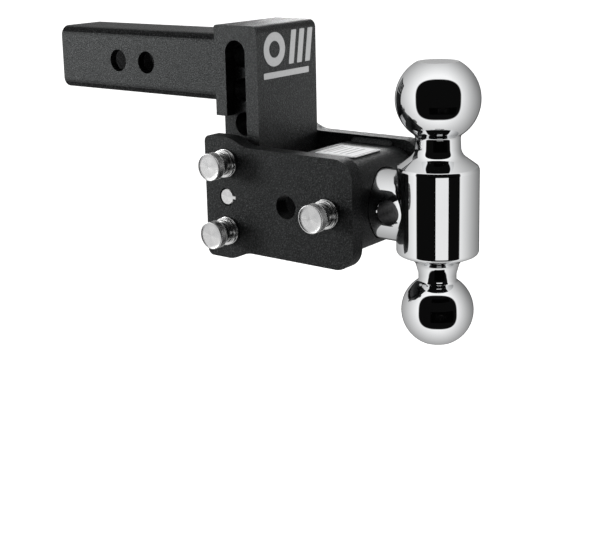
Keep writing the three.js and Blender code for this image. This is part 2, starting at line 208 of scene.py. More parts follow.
class Network:
    """A node tree, with one method that adds any node to it."""

    def __init__(self, tree, shader):
        self.tree = tree
        self.shader = shader

    def node(self, kind, settings=None, inputs=None, output=0):
        made = self.tree.nodes.new("ShaderNode" + kind)
        for key, value in (settings or {}).items():
            setattr(made, key, value)
        for key, value in (inputs or {}).items():
            self.feed(made.inputs[key], value)
        return Wire(self, made.outputs[output])

    def feed(self, socket, value):
        if isinstance(value, Wire):
            self.tree.links.new(value.socket, socket)
        else:
            socket.default_value = value

    def maths(self, operation, *values):
        return self.node("Math", {"operation": operation}, dict(enumerate(values)))

    def dot(self, wire, direction):
        settings = {"operation": "DOT_PRODUCT"}
        return self.node("VectorMath", settings, {0: wire, 1: tuple(direction)}, output="Value")

    def mix(self, factor, first, second):
        """A colour between two colours."""
        inputs = {"Factor": factor, 6: first, 7: second}
        return self.node("Mix", {"data_type": "RGBA"}, inputs, output=2)


class Finish(Network):
    """A material: a principled shader, and the textures that vary it."""

    def __init__(self, name, **constants):
        self.material = bpy.data.materials.new(name)
        self.material.use_nodes = True
        tree = self.material.node_tree
        super().__init__(tree, tree.nodes["Principled BSDF"])
        for socket, value in constants.items():
            self.shader.inputs[socket.replace("_", " ")].default_value = value

    def place(self):
        """The point on the piece, in metres, in the row frame."""
        return self.node("TexCoord", output="Object")

    def axes(self):
        point = self.place()
        return [self.node("SeparateXYZ", inputs={0: point}, output=i) for i in range(3)]

    def grain(self, scale, detail=2.0, roughness=0.5, stretch=None):
        """Noise from 0 to 1, with `scale` cells to a metre."""
        point = self.place()
        if stretch:
            settings = {"operation": "MULTIPLY"}
            point = self.node("VectorMath", settings, {0: point, 1: stretch})
        inputs = {"Vector": point, "Scale": scale, "Detail": detail, "Roughness": roughness}
        return self.node("TexNoise", {}, inputs, output="Fac")

    def bump(self, height, depth, strength=1.0, below=None):
        inputs = {"Height": height, "Distance": depth, "Strength": strength}
        if below is not None:
            inputs["Normal"] = below
        return self.node("Bump", {}, inputs)

    def wear(self, **sockets):
        """Feeds varying values to the shader's own sockets."""
        for socket, value in sockets.items():
            self.feed(self.shader.inputs[socket.replace("_", " ")], value)
        return self.material


print("shader helpers ready")

# %% [markdown]
# ## The studio
#
# The floor is one wide pale sheet well below the hitch. The tent is painted
# in the world's own nodes: a direction is turned into the spot where a mirror
# ball would show it, and the tent is drawn there as a picture. That puts the
# black opening, the soft walls and the dark far edge where they are wanted.

# %% The floor
def studio_paint(name, grey, glow):
    """A flat paint with a paper tooth, which can also give off light."""
    paint = Finish(name + "_paint", Base_Color=(grey, grey, grey, 1), Roughness=0.9,
                   Specular_IOR_Level=0.0, Emission_Color=(1, 1, 1, 1), Emission_Strength=glow)
    tooth = paint.grain(900, 3)
    return paint.wear(Normal=paint.bump(tooth, 0.0002, 0.1))


def stage_sheet(name, corners, grey, glow):
    mesh = bpy.data.meshes.new(name)
    mesh.from_pydata([tuple(c) for c in corners], [], [tuple(range(len(corners)))])
    sheet = bpy.data.objects.new(name, mesh)
    bpy.context.scene.collection.objects.link(sheet)
    mesh.materials.append(studio_paint(name, grey, glow))
    return sheet


floor_z = cad_low.z - 0.30
WIDE = 14.0
floor_corners = [(x * WIDE, y * WIDE, floor_z) for x, y in ((-1, -1), (1, -1), (1, 1), (-1, 1))]
floor = stage_sheet("floor", floor_corners, 0.85, 0.75)
floor.visible_glossy = False
floor.visible_diffuse = False
bpy.context.scene.view_settings.view_transform = "Standard"
print("floor at", round(floor_z, 3))

# %% The tent, painted where a mirror ball would show it
ball_centre = Vector((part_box("dual_ball")[1].x - 0.02935, 0, MOUNT_Z))
to_opening = (CAMERA_AT - ball_centre).normalized()
tent_right = Vector((0, 0, 1)).cross(to_opening).normalized()
tent_up = to_opening.cross(tent_right)


def paint_tent():
    world = bpy.data.worlds.new("tent")
    bpy.context.scene.world = world
    world.use_nodes = True
    tent = Network(world.node_tree, world.node_tree.nodes["Background"])
    toward = tent.node("TexCoord", output="Generated")
    span = ((tent.dot(toward, to_opening) + 1.0001) * 2.0).root()
    across = tent.dot(toward, tent_right) / span
    upward = tent.dot(toward, tent_up) / span
    wide_part = (abs(across - 0.008) * (1 / 0.520)) ** 3.0
    tall_part = (abs(upward + 0.06) * (1 / 0.465)) ** 3.0
    opening = (wide_part + tall_part).ramp(0.93, 1.05, 1.0, 0.0)
    radius = (across * across + upward * upward).root()
    corner = (upward + across * 0.6).ramp(-0.9, 0.9, 0.0, 1.0)
    walls = radius.ramp(0.50, 0.95, 1.10, 0.42) - corner * across.ramp(0.2, 0.8, 0.0, 0.20)
    walls = walls * radius.ramp(0.968, 0.992, 1.0, 0.12)
    walls = walls * (1 - opening) + opening * 0.004
    tent.feed(tent.shader.inputs["Strength"], walls)
    tent.shader.inputs["Color"].default_value = (1.0, 1.0, 1.0, 1)


paint_tent()
print("tent painted round", [round(v, 3) for v in to_opening])

# %% The soft lights
def direction(azimuth, elevation):
    """A unit vector; azimuth 0 points along -Y and 90 along +X."""
    a, e = math.radians(azimuth), math.radians(elevation)
    return Vector((math.sin(a) * math.cos(e), -math.cos(a) * math.cos(e), math.sin(e)))


def softbox(name, at, aim, width, height, power):
    light = bpy.data.lights.new(name, "AREA")
    light.shape = "RECTANGLE"
    light.size = width
    light.size_y = height
    light.energy = power
    lamp = bpy.data.objects.new(name, light)
    bpy.context.scene.collection.objects.link(lamp)
    lamp.location = at
    lamp.rotation_mode = "QUATERNION"
    lamp.rotation_quaternion = (Vector(at) - Vector(aim)).to_track_quat("Z", "Y")
    lamp.visible_camera = False
    return lamp


back_strip = softbox("back_strip", (-0.11, 0.44, 0.175), (0.16, 0.0, 0.04), 0.18, 0.11, 0.60)
left_box = softbox("left_box", (-0.74, -0.74, 0.12), (0.05, -0.03, 0.03), 0.40, 0.36, 4.6)
right_box = softbox("right_box", (0.72, 0.74, -0.07), (0.15, 0.0, 0.0), 0.40, 0.40, 2.1)
shank_box = softbox("shank_box", (-0.46, -0.72, -0.10), (0.06, -0.03, 0.03), 0.26, 0.22, 2.2)
pin_left = softbox("pin_left", (-0.80, -0.70, 0.10), (0.05, -0.03, 0.03), 0.42, 0.40, 3.6)
pin_right = softbox("pin_right", (0.72, 0.74, -0.07), (0.15, 0.0, 0.0), 0.40, 0.40, 1.2)
print("lights placed")

# %% [markdown]
# A bright card low in front draws one white stripe down the barrel. The same
# card would put a hard spot on each ball, so two small black flags stand in
# its way, one above the barrel's line of sight and one below. Cards and flags
# are for reflections only: the camera and the soft light pass through them.

# %% The stripe card and its flags
def curved_card(name, near, far, low, high, distance, glow):
    """An upright strip, bent round the barrel from one azimuth to another."""
    steps = 12
    shape = bmesh.new()
    columns = []
    for k in range(steps + 1):
        spot = direction(near + (far - near) * k / steps, 0) * distance
        columns.append([shape.verts.new((ball_centre.x + spot.x, spot.y, z)) for z in (low, high)])
    for left, right_column in zip(columns, columns[1:]):
        shape.faces.new((left[0], right_column[0], right_column[1], left[1]))
    mesh = bpy.data.meshes.new(name)
    shape.to_mesh(mesh)
    shape.free()
    made = bpy.data.objects.new(name, mesh)
    bpy.context.scene.collection.objects.link(made)
    mesh.materials.append(studio_paint(name, 0.002, glow))
    made.visible_camera = False
    made.visible_diffuse = False
    made.visible_shadow = False


curved_card("stripe_card", 25.5, 59.5, MOUNT_Z - 0.190, MOUNT_Z - 0.062, 0.50, 0.92)
curved_card("upper_flag", 10, 76, MOUNT_Z + 0.012, MOUNT_Z + 0.052, 0.12, 0.0)
curved_card("lower_flag", 15, 70, MOUNT_Z - 0.086, MOUNT_Z - 0.062, 0.05, 0.0)
print("one stripe card and two flags")

# %% [markdown]
# ## Mesh helpers
#
# Nearly every piece here is either cut from plate or turned on a lathe. Plate
# starts as an outline that is thickened, drilled, and then given a small
# rounded edge. A turned piece is a profile spun round an axis. Corners of
# both are softened first, because no real edge is perfectly sharp.

# %% Outlines and profiles
def soften(points, radii, steps=5, closed=True):
    """The same corners, each rounded by an arc of its own radius."""
    out = []
    count = len(points)
    for i, point in enumerate(points):
        radius = radii[i] if isinstance(radii, (list, tuple)) else radii
        if radius <= 0 or (not closed and i in (0, count - 1)):
            out.append(Vector(point))
            continue
        here = Vector(point)
        before = (Vector(points[i - 1]) - here)
        after = (Vector(points[(i + 1) % count]) - here)
        angle = before.angle(after)
        if angle > math.pi - 0.01:
            out.append(here)
            continue
        reach = radius / math.tan(angle / 2)
        room = 0.49 * min(before.length, after.length)
        if reach > room:
            reach = room
            radius = reach * math.tan(angle / 2)
        inward = (before.normalized() + after.normalized()).normalized()
        centre = here + inward * (radius / math.sin(angle / 2))
        start = here + before.normalized() * reach - centre
        end = here + after.normalized() * reach - centre
        sweep = start.angle_signed(end)
        for k in range(steps + 1):
            turn = Matrix.Rotation(-sweep * k / steps, 2)
            out.append(centre + turn @ start)
    return out


def arc(centre, radius, start, end, steps):
    """Points on a circle, from one angle to another in degrees."""
    angles = [math.radians(start + (end - start) * k / steps) for k in range(steps + 1)]
    return [Vector((centre[0] + radius * math.cos(a), centre[1] + radius * math.sin(a))) for a in angles]


print("a softened square has", len(soften([(0, 0), (1, 0), (1, 1), (0, 1)], 0.1)), "points")

# %% Solids from outlines and profiles
ALONG = {"x": Vector((1, 0, 0)), "y": Vector((0, 1, 0)), "z": Vector((0, 0, 1))}
SECTION = {"x": (ALONG["y"], ALONG["z"]), "y": (ALONG["x"], ALONG["z"]), "z": (ALONG["x"], ALONG["y"])}


def thicken(outline, axis, start, end):
    """A bmesh solid: the outline, from start to end along an axis."""
    across, upward = SECTION[axis]
    along = ALONG[axis]
    shape = bmesh.new()
    rings = []
    for level in (start, end):
        rings.append([shape.verts.new(across * p[0] + upward * p[1] + along * level) for p in outline])
    count = len(outline)
    shape.faces.new(rings[0])
    shape.faces.new(list(reversed(rings[1])))
    for i in range(count):
        j = (i + 1) % count
        shape.faces.new((rings[0][j], rings[0][i], rings[1][i], rings[1][j]))
    bmesh.ops.recalc_face_normals(shape, faces=shape.faces)
    return shape


def turn(profile, axis, centre, segments):
    """A bmesh solid: a profile of (radius, place along the axis), spun round."""
    along = ALONG[axis]
    first, second = SECTION[axis]
    shape = bmesh.new()
    rings = []
    for radius, level in profile:
        spot = Vector(centre) + along * level
        if radius < 1e-7:
            rings.append([shape.verts.new(spot)])
            continue
        ring = []
        for k in range(segments):
            a = 2 * math.pi * k / segments
            ring.append(shape.verts.new(spot + (first * math.cos(a) + second * math.sin(a)) * radius))
        rings.append(ring)
    for low, high in zip(rings, rings[1:]):
        for k in range(segments):
            j = (k + 1) % segments
            if len(low) == 1 and len(high) == 1:
                continue
            if len(low) == 1:
                shape.faces.new((low[0], high[k], high[j]))
            elif len(high) == 1:
                shape.faces.new((low[k], low[j], high[0]))
            else:
                shape.faces.new((low[k], low[j], high[j], high[k]))
    bmesh.ops.recalc_face_normals(shape, faces=shape.faces)
    return shape


def rod_cutter(radius, axis, centre, start, end, segments=64):
    return turn([(0, start), (radius, start), (radius, end), (0, end)], axis, centre, segments)


print("solid helpers ready")

# %% Cutting, rounding and handing over
def loose(name, shape):
    mesh = bpy.data.meshes.new(name)
    shape.to_mesh(mesh)
    shape.free()
    made = bpy.data.objects.new(name, mesh)
    bpy.context.scene.collection.objects.link(made)
    return made


def settle(obj):
    """Applies an object's modifiers to its mesh."""
    graph = bpy.context.evaluated_depsgraph_get()
    mesh = bpy.data.meshes.new_from_object(obj.evaluated_get(graph))
    old = obj.data
    obj.modifiers.clear()
    obj.data = mesh
    bpy.data.meshes.remove(old)


def combine(obj, tools, operation="DIFFERENCE"):
    """Cuts the tools out of a piece, or joins them to it."""
    for tool in tools:
        cutter = loose("tool", tool)
        boolean = obj.modifiers.new("cut", "BOOLEAN")
        boolean.operation = operation
        boolean.solver = "EXACT"
        boolean.object = cutter
        settle(obj)
        bpy.data.objects.remove(cutter)


def round_edges(obj, width, steps=3, angle=35):
    """A small radius on every edge sharper than the angle."""
    for face in obj.data.polygons:
        face.use_smooth = True
    bevel = obj.modifiers.new("edge", "BEVEL")
    bevel.limit_method = "ANGLE"
    bevel.angle_limit = math.radians(angle)
    bevel.width = width
    bevel.segments = steps
    bevel.harden_normals = True
    bevel.use_clamp_overlap = True
    settle(obj)


def hand_over(obj, body, finish, slot, *nodes, sharp=None):
    """Gives a piece its finish and its body, and hides the nodes that it stands for."""
    for face in obj.data.polygons:
        face.use_smooth = True
    if sharp is not None:
        obj.data.set_sharp_from_angle(angle=math.radians(sharp))
    indices = [face.material_index for face in obj.data.polygons]
    obj.data.materials.clear()
    obj.data.materials.append(finish)
    obj.data.polygons.foreach_set("material_index", indices)
    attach(obj, body)
    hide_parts(*nodes)
    return obj


print("mesh helpers ready")

# %% [markdown]
# ## Finish: black powder coat
#
# Powder coat is sprayed dry and baked. It flows into a skin with a very fine
# pebble, slightly glossier where it is thicker. Two noises give the pebble and
# its slow waviness; a third varies the sheen. The colour is never pure black,
# because a little dust and the pebble itself scatter light. Inside the shank's
# bore the coat is thin and dull, so it gets a version with almost no mirror.

# %% Powder coat
def powder_coat(name, mirror):
    coat = Finish(name, Metallic=0.0, IOR=1.5, Specular_IOR_Level=mirror, Specular_Tint=(0.95, 1.0, 1.0, 1))
    pebble = coat.grain(1050, 2, 0.6)
    orange_peel = coat.grain(170, 3, 0.55)
    cloud = coat.grain(22, 3, 0.5)
    specks = coat.grain(1150, 1, 0.5).ramp(0.50, 0.70)
    tone = coat.mix(cloud, (0.0020, 0.0021, 0.0022, 1), (0.0045, 0.0047, 0.0050, 1))
    tone = coat.mix(specks, tone, (0.050, 0.051, 0.053, 1))
    gloss = 0.26 + 0.17 * pebble.ramp(0.36, 0.64) + 0.10 * orange_peel + 0.05 * cloud
    skin = coat.bump(orange_peel, 0.00022, 0.35)
    skin = coat.bump(pebble, 0.00060, 0.8, below=skin)
    return coat.wear(Base_Color=tone, Roughness=gloss, Normal=skin)


black = powder_coat("powder_coat", 0.25)
dull_black = powder_coat("bore_coat", 0.03)
print("powder coat:", len(black.node_tree.nodes), "nodes")

# %% [markdown]
# ## Finish: mirror chrome
#
# Chrome plate copies the polish below it. A tow ball is turned and buffed, so
# its mirror is broken only by hairlines that run round it and a faint haze
# from handling.

# %% Chrome
def mirror_chrome():
    plate = Finish("mirror_chrome", Metallic=1.0)
    haze = plate.grain(35, 3, 0.5)
    hairline = plate.grain(60, 2, 0.5, stretch=(1, 1, 60))
    tone = plate.mix(haze, (0.80, 0.81, 0.82, 1), (0.88, 0.885, 0.89, 1))
    gloss = 0.008 + 0.022 * haze + 0.008 * hairline
    skin = plate.bump(hairline, 0.00001, 0.25)
    return plate.wear(Base_Color=tone, Roughness=gloss, Normal=skin)


chrome = mirror_chrome()
print("chrome:", len(chrome.node_tree.nodes), "nodes")

# %% [markdown]
# ## Finish: turned steel
#
# The knobs, collars and pins are turned on a lathe, so fine rings run round
# their axis, which is along Y here. The rings come from the distance to the
# axis, and they need the axis's place, so each pin has a finish of its own.
# The colour also holds painted light: darker wedges on a knob's face are a
# painted sheen, and the knurled rim darkens into its grooves as painted shade.

# %% Turned steel
KNOB_R = 10.1 * MM


def turned_steel(name, axis_x, axis_z, face_y, light=0.78, shine=0.20):
    steel = Finish(name, Metallic=1.0)
    x, y, z = steel.axes()
    dx, dz = x - axis_x, z - axis_z
    radius = (dx * dx + dz * dz).root()
    rings = (radius * 15000.0).sine()
    feed_lines = (y * 9000.0).sine()
    haze = steel.grain(600, 2, 0.5)
    stain = steel.grain(120, 2, 0.5)
    dark = tuple(light * s for s in (0.90, 0.90, 0.895))
    pale = (light, light, light)
    tone = steel.mix(stain, (*dark, 1), (*pale, 1))
    gloss = shine + 0.10 * haze
    # Painted sheen: the face gets darker wedges by angle round its centre, in place of the changing
    # reflection on a turned face.
    turn_place = steel.maths("ARCTAN2", dz, dx)
    painted_sheen_inputs = {"W": turn_place, "Scale": 0.7, "Detail": 0.0}
    painted_sheen_fan = steel.node("TexNoise", {"noise_dimensions": "1D"}, painted_sheen_inputs, output="Fac")
    painted_sheen_dark = tuple(light * s for s in (0.78, 0.78, 0.785))
    tone = steel.mix(painted_sheen_fan.ramp(0.3, 0.7) * (y < face_y), tone, (*painted_sheen_dark, 1))
    # Painted shade: on the knurled rim the colour goes near black towards the bottom of each groove, where
    # shade falls.
    on_rim = (radius > KNOB_R - 0.6 * MM) * (y > face_y + 0.4 * MM) * (y < face_y + 6.2 * MM)
    sunk = radius.ramp(KNOB_R - 0.40 * MM, KNOB_R - 0.04 * MM, 1.0, 0.0)
    tone = steel.mix(on_rim * sunk, tone, (0.035, 0.035, 0.036, 1))
    skin = steel.bump(rings, 0.000012, 0.22)
    skin = steel.bump(feed_lines, 0.000008, 0.2, below=skin)
    return steel.wear(Base_Color=tone, Roughness=gloss, Normal=skin)


knob_face_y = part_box("ball_pin_knob")[0].y + 0.5 * MM
pin_finish = {
    "upper_pin": turned_steel("upper_pin_steel", UPPER_PIN.x, UPPER_PIN.z, knob_face_y),
    "lower_pin": turned_steel("lower_pin_steel", LOWER_PIN.x, LOWER_PIN.z, knob_face_y),
    "ball_pin": turned_steel("ball_pin_steel", BALL_PIN.x, BALL_PIN.z, knob_face_y),
    "catch": turned_steel("catch_steel", UPPER_PIN.x, CATCH.z, plate_low.y + 0.3 * MM, 0.80, 0.24),
}
print("turned steel for", ", ".join(pin_finish))

# %% [markdown]
# ## Finish: plain steel, bronze liner
#
# Springs, clips and the shaft's liner are hardly seen, but they still get a
# drawn-wire grain or a dull cast tone, so that a close view holds up.

# %% Plain steel and bronze
def plain_metal(name, dark, pale, shine, scale):
    metal = Finish(name, Metallic=1.0)
    blotch = metal.grain(scale, 4, 0.6)
    fine = metal.grain(scale * 12, 2, 0.5)
    tone = metal.mix(blotch, (*dark, 1), (*pale, 1))
    return metal.wear(Base_Color=tone, Roughness=shine + 0.18 * blotch, Normal=metal.bump(fine, 0.00003, 0.4))


steel_wire = plain_metal("steel_wire", (0.34, 0.34, 0.35), (0.52, 0.52, 0.53), 0.26, 220)
bronze = plain_metal("bronze_liner", (0.30, 0.21, 0.10), (0.46, 0.34, 0.17), 0.34, 160)
for node, finish in (
    ("catch_spring", steel_wire), ("catch_circlip", steel_wire), ("shaft_sleeve", bronze),
    ("upper_pin_detent_spring", steel_wire), ("lower_pin_detent_spring", steel_wire),
    ("ball_pin_detent_spring", steel_wire),
):
    carried = frame["nodes"][node]
    carried.data.materials.clear()
    carried.data.materials.append(finish)
print("plain metals on the hidden pieces")

# %% [markdown]
# ## The shank
#
# The shank is a square tube, rolled from strip, so its outside corners are
# round and its inside corners are tight. Two cross holes take the receiver's
# pin. The end under the weld is relieved a little, as a welder would grind it.

# %% The shank's tube
def square_outline(half, radius, steps=14):
    low, high = SHANK_Z - half, SHANK_Z + half
    corners = [(-half, low), (half, low), (half, high), (-half, high)]
    return soften(corners, radius, steps)


WELD_LEG = 5 * MM
tube_end = shank_high.x
relief_x = tube_end - WELD_LEG - 0.4 * MM
tube_solid = thicken(square_outline(SHANK_HALF, 8 * MM), "x", shank_low.x, relief_x)
tube = loose("shank_tube_finished", tube_solid)
relief = thicken(square_outline(SHANK_HALF - 0.6 * MM, 7.4 * MM), "x", relief_x - 1 * MM, tube_end)
combine(tube, [relief], "UNION")
bore_outline = square_outline(SHANK_HALF - 6.35 * MM, 1.7 * MM, 6)
bore = thicken(bore_outline, "x", shank_low.x - 1 * MM, tube_end + 1 * MM)
hitch_holes = [
    rod_cutter(PIN_HOLE_R, "y", (x, 0, SHANK_Z), -SHANK_HALF - 1 * MM, SHANK_HALF + 1 * MM)
    for x in (0, 31 * MM)
]
combine(tube, [bore, *hitch_holes])
round_edges(tube, 0.7 * MM)
for face in tube.data.polygons:
    reach = max(abs(face.center.y), abs(face.center.z - SHANK_Z))
    face.material_index = 1 if reach < SHANK_HALF - 0.8 * MM and face.center.x > shank_low.x + 1 * MM else 0
hand_over(tube, "frame", black, "black_powder_coat", "shank_tube")
tube.data.materials.append(dull_black)
print("shank tube:", len(tube.data.polygons), "faces")

# %% [markdown]
# ## Weld beads
#
# A fillet weld is a row of frozen puddles, each a curved ripple a couple of
# millimetres from the last. The bead is lofted here: a short section walks
# along the joint, and its face swells and sinks with the distance walked.
# Powder coat lies over the bead, so the ripples stay soft.

# %% A bead along a joint
def lay_bead(name, stops, pitch, ripple, closed):
    """Stops are (root, leg, leg) vectors; the face runs between the legs' ends."""
    shape = bmesh.new()
    sections = []
    travel = 0.0
    across = 10
    for i, (root, leg_a, leg_b) in enumerate(stops):
        if i:
            travel += (root - stops[i - 1][0]).length
        outward = (leg_a + leg_b).normalized()
        section = [shape.verts.new(root)]
        for k in range(across + 1):
            t = k / across
            arch = 1 - (2 * t - 1) ** 2
            wave = 0.5 + 0.5 * math.cos(2 * math.pi * (travel / pitch - 0.45 * arch))
            uneven = noise.noise(root * 180 + outward * t)
            lift = ripple * arch * (wave + 0.5 * uneven)
            on_face = root + leg_a * (1 - t) ** 1.15 + leg_b * t ** 1.15
            section.append(shape.verts.new(on_face + outward * lift))
        sections.append(section)
    count = len(sections)
    for i in range(count if closed else count - 1):
        here, there = sections[i], sections[(i + 1) % count]
        for k in range(across + 2):
            j = (k + 1) % (across + 2)
            shape.faces.new((here[k], here[j], there[j], there[k]))
    if not closed:
        shape.faces.new(sections[0])
        shape.faces.new(list(reversed(sections[-1])))
    bmesh.ops.recalc_face_normals(shape, faces=shape.faces)
    return loose(name, shape)


def walk(outline, spacing):
    """Even stops round a closed outline, each with its outward direction."""
    closed = list(outline) + [outline[0]]
    lengths = [0.0]
    for a, b in zip(closed, closed[1:]):
        lengths.append(lengths[-1] + (b - a).length)
    whole = lengths[-1]

    def at(distance):
        distance %= whole
        i = max(k for k in range(len(lengths) - 1) if lengths[k] <= distance)
        span = max(lengths[i + 1] - lengths[i], 1e-9)
        return closed[i].lerp(closed[i + 1], (distance - lengths[i]) / span)

    stops = []
    for k in range(round(whole / spacing)):
        s = k * whole / round(whole / spacing)
        run = (at(s + 0.6 * MM) - at(s - 0.6 * MM)).normalized()
        stops.append((at(s), Vector((run.y, -run.x))))
    return stops


weld_half = SHANK_HALF - 0.3 * MM
shank_stops = []
for spot, outward in walk(square_outline(weld_half, 7.7 * MM), 0.45 * MM):
    root = Vector((tube_end, spot.x, spot.y))
    shank_stops.append((root, Vector((-4.6 * MM, 0, 0)), Vector((0, outward.x, outward.y)) * 4.7 * MM))
bead = lay_bead("shank_weld_finished", shank_stops, 2.6 * MM, 0.42 * MM, True)
hand_over(bead, "frame", black, "black_powder_coat", "shank_weld")
print("shank weld:", len(shank_stops), "stops")

# %% [markdown]
# ## The post
#
# The post is a heavy channel closed at the top, with a drilled column inside
# that the mount is pinned to. The channel is drawn as a side view, thickened
# across, and then hollowed, which is close to how it is milled and welded. A
# slot with a full round top opens each side, so that the pins can pass.

# %% The outer channel
def block(x0, x1, y0, y1, z0, z1):
    return thicken([(x0, z0), (x1, z0), (x1, z1), (x0, z1)], "y", y0, y1)


EXTRA = 1 * MM
post_half = post_high.y
web_x = post_high.x - 11.3 * MM
roof_z = post_high.z - 10.7 * MM
cheek_y = post_half - 8.8 * MM
slot_x = post_low.x + 10.3 * MM
leg_z = SHANK_Z - 33.8 * MM
post_corners = [(post_low.x, post_low.z), (post_high.x, post_low.z),
                (post_high.x, post_high.z), (post_low.x, post_high.z)]
post_outline = soften(post_corners, [0, 0, 6 * MM, 2 * MM], 14)
post = loose("post_channel_finished", thicken(post_outline, "y", -post_half, post_half))
below, ahead, beside = post_low.z - EXTRA, post_low.x - EXTRA, post_half + EXTRA
slot_r = (web_x - slot_x) / 2
slot_outline = [Vector((slot_x, below)), Vector((web_x, below))]
slot_outline += arc((web_x - slot_r, roof_z - slot_r), slot_r, 0, 180, 32)
combine(post, [
    block(ahead, web_x, -cheek_y, cheek_y, below, roof_z),
    thicken(slot_outline, "y", -beside, beside),
    block(ahead, web_x, -beside, beside, below, leg_z),
])
round_edges(post, 1.1 * MM, 4)
hand_over(post, "frame", black, "black_powder_coat", "post_channel")
print("post channel:", len(post.data.polygons), "faces")

# %% The drilled column
column = loose("post_column_finished", block(
    column_low.x, column_high.x, column_low.y, column_high.y, column_low.z, column_high.z))
column_holes = [
    rod_cutter(PIN_HOLE_R, "y", (LOWER_PIN.x, 0, LOWER_PIN.z + i * HOLE_PITCH),
               column_low.y - EXTRA, column_high.y + EXTRA)
    for i in range(6)
]
combine(column, column_holes)
round_edges(column, 0.6 * MM)
hand_over(column, "frame", black, "black_powder_coat", "post_column")
print("post column:", len(column_holes), "cross holes")

# %% [markdown]
# ## The ball mount's side plates
#
# Two thick plates straddle the post. Each is cut from plate with a taller
# front end, which carries the two post pins, and it narrows in one smooth
# double bend. The left plate also has a stepped hole for the sprung catch.

# %% The plates' outline and holes
def bezier(a, b, c, d, steps=16):
    out = []
    for k in range(1, steps):
        t = k / steps
        weights = ((1 - t) ** 3, 3 * t * (1 - t) ** 2, 3 * t * t * (1 - t), t ** 3)
        points = [Vector(p) * w for p, w in zip((a, b, c, d), weights)]
        out.append(sum(points, Vector((0, 0))))
    return out


def plate_outline():
    x0, x1, low, high = plate_low.x, plate_high.x, plate_low.z, plate_high.z
    top, bottom = MOUNT_Z + 39.2 * MM, MOUNT_Z - 39.2 * MM
    bend0, bend1, reach = x0 + 20 * MM, x0 + 43 * MM, 9 * MM
    corner, end = 5 * MM, 15 * MM
    points = arc((x0 + corner, low + corner), corner, 180, 270, 12)
    points += [Vector((bend0, low))]
    points += bezier((bend0, low), (bend0 + reach, low), (bend1 - reach, bottom), (bend1, bottom))
    points += [Vector((bend1, bottom))]
    points += arc((x1 - end, bottom + end), end, 270, 360, 24)
    points += arc((x1 - end, top - end), end, 0, 90, 24)
    points += [Vector((bend1, top))]
    points += bezier((bend1, top), (bend1 - reach, top), (bend0 + reach, high), (bend0, high))
    points += [Vector((bend0, high))]
    points += arc((x0 + corner, high - corner), corner, 90, 180, 12)
    return points


def side_plate(node, extra_cuts=()):
    low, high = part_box(node)
    plate = loose(node + "_finished", thicken(plate_outline(), "y", low.y, high.y))
    holes = [(UPPER_PIN.x, UPPER_PIN.z), (LOWER_PIN.x, LOWER_PIN.z),
             (plate_low.x + 74.8 * MM, MOUNT_Z), (BALL_PIN.x, BALL_PIN.z)]
    cutters = [rod_cutter(PIN_HOLE_R, "y", (x, 0, z), low.y - EXTRA, high.y + EXTRA) for x, z in holes]
    combine(plate, [*cutters, *extra_cuts])
    round_edges(plate, 0.9 * MM, 4)
    return hand_over(plate, "frame", black, "black_powder_coat", node)


catch_x, catch_z = UPPER_PIN.x, CATCH.z
step_y = plate_low.y + 3.2 * MM
catch_cuts = [
    rod_cutter(6.75 * MM, "y", (catch_x, 0, catch_z), plate_low.y - EXTRA, step_y + EXTRA, 72),
    rod_cutter(9.6 * MM, "y", (catch_x, 0, catch_z), step_y, plate_high.y + EXTRA, 72),
    block(catch_x, catch_x + 8.4 * MM, plate_low.y - EXTRA, step_y + EXTRA,
          catch_z - 1.4 * MM, catch_z + 1.4 * MM),
]
left_plate = side_plate("left_side_plate", catch_cuts)
right_plate = side_plate("right_side_plate")
print("side plates:", len(left_plate.data.polygons), "and", len(right_plate.data.polygons), "faces")

# %% [markdown]
# ## The housing round the ball shaft
#
# A strap of plate is bent over, behind and under the shaft, and welded between
# the side plates. Bent plate keeps its thickness round the bend, so the inner
# and outer bends share a centre.

# %% Housing, liner and housing welds
def housing_path(inset, front):
    half = MOUNT_Z - housing_low.z - inset
    back, bend = housing_high.x - inset, 20 * MM - inset
    points = [Vector((front, MOUNT_Z - half))]
    points += arc((back - bend, MOUNT_Z - half + bend), bend, 270, 360, 20)
    points += arc((back - bend, MOUNT_Z + half - bend), bend, 0, 90, 20)
    return points + [Vector((front, MOUNT_Z + half))]


HOUSING_WALL = 6.1 * MM
strap = housing_path(0, housing_low.x) + list(reversed(housing_path(HOUSING_WALL, housing_low.x)))
housing = loose("ball_housing_finished", thicken(strap, "y", housing_low.y, housing_high.y))
shaft_way = rod_cutter(25.9 * MM, "x", (0, 0, MOUNT_Z), housing_high.x - 20 * MM, housing_high.x + EXTRA, 96)
combine(housing, [shaft_way])
round_edges(housing, 0.8 * MM)
hand_over(housing, "frame", black, "black_powder_coat", "ball_housing")

liner_low, liner_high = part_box("shaft_sleeve")
liner_profile = [(25.75 * MM, liner_low.x), (27.2 * MM, liner_low.x), (27.2 * MM, liner_high.x),
                 (25.75 * MM, liner_high.x), (25.75 * MM, liner_low.x)]
liner = loose("shaft_sleeve_finished", turn(liner_profile, "x", (0, 0, MOUNT_Z), 96))
room = thicken(housing_path(HOUSING_WALL + 0.3 * MM, housing_low.x), "y", -40 * MM, 40 * MM)
combine(liner, [room], "INTERSECT")
combine(liner, [rod_cutter(PIN_HOLE_R, "y", (BALL_PIN.x, 0, MOUNT_Z), -40 * MM, 40 * MM)])
hand_over(liner, "frame", bronze, "bronze_bush", "shaft_sleeve", sharp=30)

